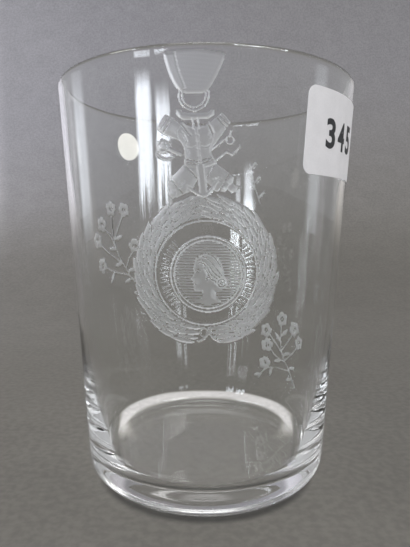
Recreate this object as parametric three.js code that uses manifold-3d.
// A straight-sided, slightly tapered crystal tumbler with a heavy base. A medal hanging from its
// ribbon is cut into the front wall and two floral sprays into the back wall. A paper lot label
// and a small round sticker are stuck on the outside.
// Units are millimetres, +Z is up, the medal faces -Y and the origin is the centre of the underside.
import * as THREE from "three";
import { mergeVertices } from "three/addons/utils/BufferGeometryUtils.js";
import Module from "manifold-3d";

// Glass body
const HEIGHT = 96;
const RIM_RADIUS = 35.75; // outside, at the lip
const FOOT_RADIUS = 29.6; // the outer wall carried straight down to the table
const HEEL_RADIUS = 7; // rounding between the outer wall and the underside
const LIP_WALL = 1.5;
const FOOT_WALL = 3.3; // where the inner corner begins
const THICKENING_HEIGHT = 29; // the wall thickens from the lip's to the foot's over this height
const FLOOR_THICKNESS = 6.4;
const CORNER_REACH = 3.4; // half axes of the tall ellipse between the inner wall and the floor
const CORNER_RISE = 8;

// Engraving
const CUT_DEPTH = 0.35;
const HANGING_X = -2.2; // the ribbon, ring and anchor's stock hang a little to the left
const TROPHY_X = -1.6;
const RIBBON_TOP_BELOW_RIM = 1.6;
const RIBBON_HEIGHT = 7.4;
const RIBBON_TOP_WIDTH = 11.4;
const RIBBON_BOTTOM_WIDTH = 4.6;
const RIBBON_SAG = 0.3; // how far the ribbon's sides bow inwards
const RING_RADIUS = 2.75;
const RING_LINE = 0.65;
const RING_OVERLAP = 1.1; // how much of the ring the ribbon's fold covers
const ANCHOR_STOCK_WIDTH = 6.6;
const ANCHOR_STOCK_HEIGHT = 1.2;
const ANCHOR_SHANK = 0.9;
const ANCHOR_FOOT_X = -0.6; // the shank leans, so that its foot is nearer the middle
const ANCHOR_ARM_RADIUS = 2.9;
const CUIRASS_WIDTH = 6.2;
const CUIRASS_HEIGHT = 8.6;
const CUIRASS_WAIST = 5.2;
const CANNON_LENGTH = 16.6;
const CANNON_MUZZLE = 2.4;
const CANNON_BREECH = 3.2;
const CANNON_KNOB = 0.7; // radius of the ball on the breech
const CANNON_TILT = 42; // degrees from upright
const MEDAL_HEIGHT = 53.7; // centre of the medal above the table
const MEDAL_RADIUS = 7.3;
const MEDAL_LINE = 0.7;
const HEAD_HEIGHT = 9.6;
const WREATH_OUTER = 15;
const WREATH_INNER = 10.1;
const LEAVES_PER_ROW = 11;
const LEAF_LENGTH = 3.9;
const LEAF_WIDTH = 1.15;
const LEAF_STAGGER = 0.17; // how far one branch's leaves lie along from the other's, in leaves

// Sprays on the back wall: bearing round from the front, and the height of the middle
const SPRAYS = [
  { bearing: -120, height: 59.5, length: 26, lean: 8 },
  { bearing: 130, height: 27.5, length: 28, lean: -16 },
];
const SPRAY_STEM = 0.5;
const SPRAY_LEAF = 3.6;
const FLOWER_RADIUS = 2.1;
const PETALS = 5;

// Paper pieces
const PAPER = 0.15;
const GLUE = 0.05; // the gum between paper and glass
const LABEL = { bearing: 55.2, belowRim: 14.2, width: 25.9, tall: 17.2, corner: 2 };
const DOT = { bearing: -136.4, belowRim: 9, radius: 4 };

// Mesh fineness
const FACETS = 96;
const ARC_STEPS = 6;
const CURVE_STEPS = 4;
const THICKENING_STEPS = 6;
const ROUND_SIDES = 24;
const KNOB_SIDES = 9;

const TAPER = (RIM_RADIUS - FOOT_RADIUS) / HEIGHT;
const WALL_LEAN = Math.atan(TAPER);
// The corner's ellipse turns from level until its slope is that of the inner wall.
const INNER_TAPER = TAPER + (2 * (FOOT_WALL - LIP_WALL)) / THICKENING_HEIGHT;
const CORNER_TURN = Math.atan2(CORNER_REACH, CORNER_RISE * INNER_TAPER);
const CORNER_TOP = FLOOR_THICKNESS + CORNER_RISE * (1 - Math.cos(CORNER_TURN));
const radians = THREE.MathUtils.degToRad;

const outerRadius = (z) => FOOT_RADIUS + TAPER * z;

function innerRadius(z) {
  const below = Math.max(0, CORNER_TOP + THICKENING_HEIGHT - z) / THICKENING_HEIGHT;
  return outerRadius(z) - LIP_WALL - (FOOT_WALL - LIP_WALL) * below ** 2;
}

// Points of an arc round (r, z), ends included, in a profile plane.
function arc(r, z, radius, from, to, steps = ARC_STEPS) {
  const points = [];
  for (let i = 0; i <= steps; i++) {
    const angle = from + ((to - from) * i) / steps;
    points.push(new THREE.Vector2(r + radius * Math.cos(angle), z + radius * Math.sin(angle)));
  }
  return points;
}

// A solid of revolution about Z from a profile of (radius, height) points.
function turned(profile) {
  return new THREE.LatheGeometry(profile, FACETS).rotateX(Math.PI / 2);
}

function tumblerProfile() {
  const lip = LIP_WALL / 2;
  const lipHeight = HEIGHT - lip;
  const heelCentre = outerRadius(HEEL_RADIUS) - HEEL_RADIUS / Math.cos(WALL_LEAN);
  const floorRadius = innerRadius(CORNER_TOP) - CORNER_REACH * Math.sin(CORNER_TURN);
  const innerWall = [];
  for (let i = 0; i < THICKENING_STEPS; i++) {
    const z = CORNER_TOP + THICKENING_HEIGHT * (1 - i / THICKENING_STEPS) ** 1.5;
    innerWall.push(new THREE.Vector2(innerRadius(z), z));
  }
  const corner = [];
  for (let i = 0; i <= ARC_STEPS; i++) {
    const angle = CORNER_TURN * (1 - i / ARC_STEPS);
    const radius = floorRadius + CORNER_REACH * Math.sin(angle);
    corner.push(new THREE.Vector2(radius, FLOOR_THICKNESS + CORNER_RISE * (1 - Math.cos(angle))));
  }
  return [
    new THREE.Vector2(0, 0),
    ...arc(heelCentre, HEEL_RADIUS, HEEL_RADIUS, -Math.PI / 2, -WALL_LEAN),
    ...arc(outerRadius(lipHeight) - lip, lipHeight, lip, 0, Math.PI),
    ...innerWall,
    ...corner,
    new THREE.Vector2(0, FLOOR_THICKNESS),
  ];
}

// A ring of the outer wall, between two distances out from its surface.
function wallSkin(from, to, low, high) {
  const corners = [
    [from, low],
    [to, low],
    [to, high],
    [from, high],
    [from, low],
  ];
  return turned(corners.map(([out, z]) => new THREE.Vector2(outerRadius(z) + out, z)));
}

const wasm = await Module();
wasm.setup();

function solid(geometry) {
  geometry.deleteAttribute("normal");
  geometry.deleteAttribute("uv");
  const merged = mergeVertices(geometry, 1e-4);
  return new wasm.Manifold(
    new wasm.Mesh({
      numProp: 3,
      vertProperties: merged.attributes.position.array,
      triVerts: new Uint32Array(merged.index.array),
    }),
  );
}

function geometryOf(manifold) {
  const { vertProperties, triVerts } = manifold.getMesh();
  const geometry = new THREE.BufferGeometry();
  geometry.setAttribute("position", new THREE.BufferAttribute(vertProperties, 3));
  geometry.setIndex(new THREE.BufferAttribute(triVerts, 1));
  geometry.computeVertexNormals();
  return geometry;
}

// A drawing on the wall, in (distance round the wall, height), pushed through the wall as a prism.
// The distance is true on the surface, so a circle stays a circle when it is seen square on.
function prism(shape, bearing) {
  const onWall = (points) =>
    points.map(({ x, y }) => {
      const radius = outerRadius(y);
      return new THREE.Vector2(radius * Math.sin(x / radius), y);
    });
  const outline = new THREE.Shape(onWall(shape.getPoints(CURVE_STEPS)));
  outline.holes = shape.holes.map((hole) => new THREE.Path(onWall(hole.getPoints(CURVE_STEPS))));
  const start = FOOT_RADIUS / 2;
  const depth = RIM_RADIUS + LIP_WALL - start;
  const geometry = new THREE.ExtrudeGeometry(outline, { depth, bevelEnabled: false });
  geometry.translate(0, 0, start).rotateX(Math.PI / 2).rotateZ(radians(bearing));
  return solid(geometry);
}

const union = (solids) => solids.reduce((all, next) => all.add(next));

// Drawing helpers. Each gives a shape in (distance round the wall, height).
function polygon(points) {
  return new THREE.Shape(points.map(([x, y]) => new THREE.Vector2(x, y)));
}

function disc(x, y, radius, sides = ROUND_SIDES) {
  return new THREE.Shape(arc(x, y, radius, 0, 2 * Math.PI, sides).slice(1));
}

function hoop(x, y, radius, line, sides = ROUND_SIDES) {
  const shape = disc(x, y, radius, sides);
  shape.holes.push(disc(x, y, radius - line, sides));
  return shape;
}

// A pointed leaf from its stalk end, turned by an angle from upright.
function leaf(x, y, length, width, angle) {
  const place = (along, aside) => [
    x - along * Math.sin(angle) + aside * Math.cos(angle),
    y + along * Math.cos(angle) + aside * Math.sin(angle),
  ];
  const shape = new THREE.Shape();
  shape.moveTo(...place(0, 0));
  shape.quadraticCurveTo(...place(length / 2, width), ...place(length, 0));
  shape.quadraticCurveTo(...place(length / 2, -width), ...place(0, 0));
  return shape;
}

// A line of even width along a curve.
function stroke(curve, width, steps) {
  const left = [];
  const right = [];
  for (let i = 0; i <= steps; i++) {
    const point = curve.getPoint(i / steps);
    const along = curve.getTangent(i / steps);
    const side = new THREE.Vector2(-along.y, along.x).multiplyScalar(width / 2);
    left.push(point.clone().add(side));
    right.unshift(point.clone().sub(side));
  }
  return new THREE.Shape([...left, ...right]);
}

function ribbon() {
  const top = HEIGHT - RIBBON_TOP_BELOW_RIM;
  const bottom = top - RIBBON_HEIGHT;
  const middle = (top + bottom) / 2;
  const topHalf = RIBBON_TOP_WIDTH / 2;
  const bottomHalf = RIBBON_BOTTOM_WIDTH / 2;
  const waist = (topHalf + bottomHalf) / 2 - RIBBON_SAG;
  const shape = new THREE.Shape();
  shape.moveTo(HANGING_X - bottomHalf, bottom);
  shape.lineTo(HANGING_X + bottomHalf, bottom);
  shape.quadraticCurveTo(HANGING_X + waist, middle, HANGING_X + topHalf, top);
  shape.lineTo(HANGING_X - topHalf, top);
  shape.quadraticCurveTo(HANGING_X - waist, middle, HANGING_X - bottomHalf, bottom);
  return shape;
}

const RIBBON_FOOT = HEIGHT - RIBBON_TOP_BELOW_RIM - RIBBON_HEIGHT;
const RING_CENTRE = RIBBON_FOOT + RING_OVERLAP - RING_RADIUS;
const STOCK_TOP = RING_CENTRE - RING_RADIUS;
const WREATH_TOP = MEDAL_HEIGHT + WREATH_OUTER;

function anchor() {
  const stockBottom = STOCK_TOP - ANCHOR_STOCK_HEIGHT;
  const left = HANGING_X - ANCHOR_STOCK_WIDTH / 2;
  const right = HANGING_X + ANCHOR_STOCK_WIDTH / 2;
  const head = new THREE.Vector2(HANGING_X, STOCK_TOP - ANCHOR_STOCK_HEIGHT / 2);
  const foot = new THREE.Vector2(ANCHOR_FOOT_X, WREATH_TOP + ANCHOR_SHANK / 2);
  const arms = new THREE.EllipseCurve(
    foot.x,
    foot.y + ANCHOR_ARM_RADIUS,
    ANCHOR_ARM_RADIUS,
    ANCHOR_ARM_RADIUS,
    radians(205),
    radians(335),
  );
  return [
    polygon([
      [left, stockBottom],
      [right, stockBottom],
      [right, STOCK_TOP],
      [left, STOCK_TOP],
    ]),
    stroke(new THREE.LineCurve(foot, head), ANCHOR_SHANK, 1),
    stroke(arms, ANCHOR_SHANK, ARC_STEPS),
  ];
}

const TROPHY_CENTRE = (STOCK_TOP - ANCHOR_STOCK_HEIGHT + WREATH_TOP) / 2;

function cuirass() {
  const middle = TROPHY_CENTRE + ANCHOR_STOCK_HEIGHT;
  const top = middle + CUIRASS_HEIGHT / 2;
  const bottom = middle - CUIRASS_HEIGHT / 2;
  const half = CUIRASS_WIDTH / 2;
  const waist = CUIRASS_WAIST / 2;
  const side = 2 * waist - half; // where the curve's handle goes to pass through the waist
  const shape = new THREE.Shape();
  shape.moveTo(TROPHY_X, bottom - ANCHOR_SHANK);
  shape.lineTo(TROPHY_X + half, bottom);
  shape.quadraticCurveTo(TROPHY_X + side, middle, TROPHY_X + half, top);
  shape.quadraticCurveTo(TROPHY_X, top - ANCHOR_STOCK_HEIGHT, TROPHY_X - half, top);
  shape.quadraticCurveTo(TROPHY_X - side, middle, TROPHY_X - half, bottom);
  shape.lineTo(TROPHY_X, bottom - ANCHOR_SHANK);
  return shape;
}

// Two gun barrels that cross behind the cuirass, muzzles up.
function cannons() {
  return [-1, 1].flatMap((side) => {
    const tilt = side * radians(CANNON_TILT);
    const place = (along, aside) => [
      TROPHY_X + along * Math.sin(tilt) + aside * Math.cos(tilt),
      TROPHY_CENTRE + along * Math.cos(tilt) - aside * Math.sin(tilt),
    ];
    const half = CANNON_LENGTH / 2;
    return [
      polygon([
        place(-half, -CANNON_BREECH / 2),
        place(-half, CANNON_BREECH / 2),
        place(half, CANNON_MUZZLE / 2),
        place(half, -CANNON_MUZZLE / 2),
      ]),
      disc(...place(-half - CANNON_KNOB / 2, 0), CANNON_KNOB, KNOB_SIDES),
    ];
  });
}

// Two laurel branches, from the knot at the bottom up to where their tips meet at the top.
function wreath() {
  const rows = [
    { radius: WREATH_OUTER - LEAF_LENGTH / 3, splay: 14 },
    { radius: WREATH_INNER + LEAF_WIDTH, splay: -14 },
  ];
  return [-1, 1].flatMap((side) =>
    rows.flatMap(({ radius, splay }) =>
      Array.from({ length: LEAVES_PER_ROW }, (_, i) => {
        const turn = (Math.PI * (i + 0.3 + (side * LEAF_STAGGER) / 2)) / LEAVES_PER_ROW;
        const x = side * radius * Math.sin(turn);
        const y = MEDAL_HEIGHT - radius * Math.cos(turn);
        const angle = side * (turn - Math.PI / 2 - radians(splay));
        return leaf(x, y, LEAF_LENGTH, LEAF_WIDTH, angle);
      }),
    ),
  );
}

// A calm classical profile that looks to the left, hair tied in a knot at the back.
function head() {
  const unit = HEAD_HEIGHT / 8;
  const at = (x, y) => [x * unit, MEDAL_HEIGHT + y * unit];
  const shape = new THREE.Shape();
  shape.moveTo(...at(0.2, 4));
  shape.quadraticCurveTo(...at(-1.7, 3.9), ...at(-2, 1.9));
  shape.lineTo(...at(-2.1, 1.2));
  shape.lineTo(...at(-2.75, 0.1));
  shape.lineTo(...at(-2.2, -0.15));
  shape.lineTo(...at(-2.35, -0.75));
  shape.lineTo(...at(-2.1, -1.75));
  shape.quadraticCurveTo(...at(-1.1, -2.1), ...at(-0.7, -2));
  shape.quadraticCurveTo(...at(-0.5, -3.2), ...at(-1.1, -3.9));
  shape.quadraticCurveTo(...at(0.5, -4.2), ...at(1.8, -3.4));
  shape.quadraticCurveTo(...at(1.1, -2), ...at(1.5, -0.7));
  shape.quadraticCurveTo(...at(3, -0.5), ...at(3, 0.7));
  shape.quadraticCurveTo(...at(2.9, 1.6), ...at(2.2, 1.6));
  shape.quadraticCurveTo(...at(2, 3.9), ...at(0.2, 4));
  return shape;
}

// A curved stem with leaves in pairs and an open flower at its tip and on two side twigs.
function spray({ height, length, lean }) {
  const sway = length * Math.sin(radians(lean));
  const stem = new THREE.QuadraticBezierCurve(
    new THREE.Vector2(-sway, height - length / 2),
    new THREE.Vector2(-sway / 2, height),
    new THREE.Vector2(sway / 2, height + length / 2 - FLOWER_RADIUS),
  );
  const shapes = [stroke(stem, SPRAY_STEM, 2 * ARC_STEPS)];
  const tip = stem.getPoint(1);
  const blooms = [tip];
  [0.3, 0.45, 0.6, 0.75].forEach((share, i) => {
    const { x, y } = stem.getPoint(share);
    for (const side of [-1, 1]) {
      const angle = side * radians(50);
      shapes.push(leaf(x, y, SPRAY_LEAF, SPRAY_LEAF / 3, angle));
    }
    if (i > 1) {
      const side = i % 2 ? -1 : 1;
      const bloom = new THREE.Vector2(x + side * 1.6 * SPRAY_LEAF, y + FLOWER_RADIUS);
      const twig = new THREE.LineCurve(new THREE.Vector2(x, y), bloom);
      shapes.push(stroke(twig, SPRAY_STEM, 1));
      blooms.push(bloom);
    }
  });
  for (const { x, y } of blooms)
    for (let p = 0; p < PETALS; p++)
      shapes.push(leaf(x, y, FLOWER_RADIUS, FLOWER_RADIUS / 2, (2 * Math.PI * p) / PETALS));
  return shapes;
}

function engraving() {
  const front = [
    ribbon(),
    hoop(HANGING_X, RING_CENTRE, RING_RADIUS, RING_LINE),
    ...anchor(),
    cuirass(),
    ...cannons(),
    ...wreath(),
    hoop(0, MEDAL_HEIGHT, MEDAL_RADIUS, MEDAL_LINE, 2 * ROUND_SIDES),
    head(),
  ].map((shape) => prism(shape, 0));
  const back = SPRAYS.flatMap((one) => spray(one).map((shape) => prism(shape, one.bearing)));
  const skin = solid(wallSkin(-CUT_DEPTH, LIP_WALL, HEEL_RADIUS, HEIGHT - LIP_WALL));
  return union([...front, ...back]).intersect(skin);
}

function glassBody() {
  return geometryOf(solid(turned(tumblerProfile())).subtract(engraving()));
}

// Paper stuck on the outside: the outline pushed through a thin skin that stands off the glass by
// the thickness of the gum.
function paper(shape, { bearing }) {
  const skin = solid(wallSkin(GLUE, GLUE + PAPER, HEEL_RADIUS, HEIGHT - LIP_WALL));
  return geometryOf(prism(shape, bearing).intersect(skin));
}

function lotLabel() {
  const { belowRim, width, tall, corner } = LABEL;
  const x = width / 2;
  const low = HEIGHT - belowRim - tall / 2;
  const high = HEIGHT - belowRim + tall / 2;
  const shape = new THREE.Shape();
  shape.absarc(x - corner, low + corner, corner, -Math.PI / 2, 0);
  shape.absarc(x - corner, high - corner, corner, 0, Math.PI / 2);
  shape.absarc(corner - x, high - corner, corner, Math.PI / 2, Math.PI);
  shape.absarc(corner - x, low + corner, corner, Math.PI, 1.5 * Math.PI);
  return paper(shape, LABEL);
}

function dotLabel() {
  return paper(disc(0, HEIGHT - DOT.belowRim, DOT.radius, 2 * ROUND_SIDES), DOT);
}

const crystal = new THREE.MeshStandardMaterial({
  color: 0xdfe3e2,
  roughness: 0.03,
  metalness: 0,
  transparent: true,
  opacity: 0.35,
});
const whitePaper = new THREE.MeshStandardMaterial({ color: 0xdcd8d8, roughness: 0.6, metalness: 0 });
const creamPaper = new THREE.MeshStandardMaterial({ color: 0xd6d2c6, roughness: 0.7, metalness: 0 });

function named(name, geometry, material) {
  const mesh = new THREE.Mesh(geometry, material);
  mesh.name = name;
  return mesh;
}

const tumbler = new THREE.Group();
tumbler.add(
  named("glass_body", glassBody(), crystal),
  named("lot_label", lotLabel(), whitePaper),
  named("dot_label", dotLabel(), creamPaper),
);

export default tumbler;
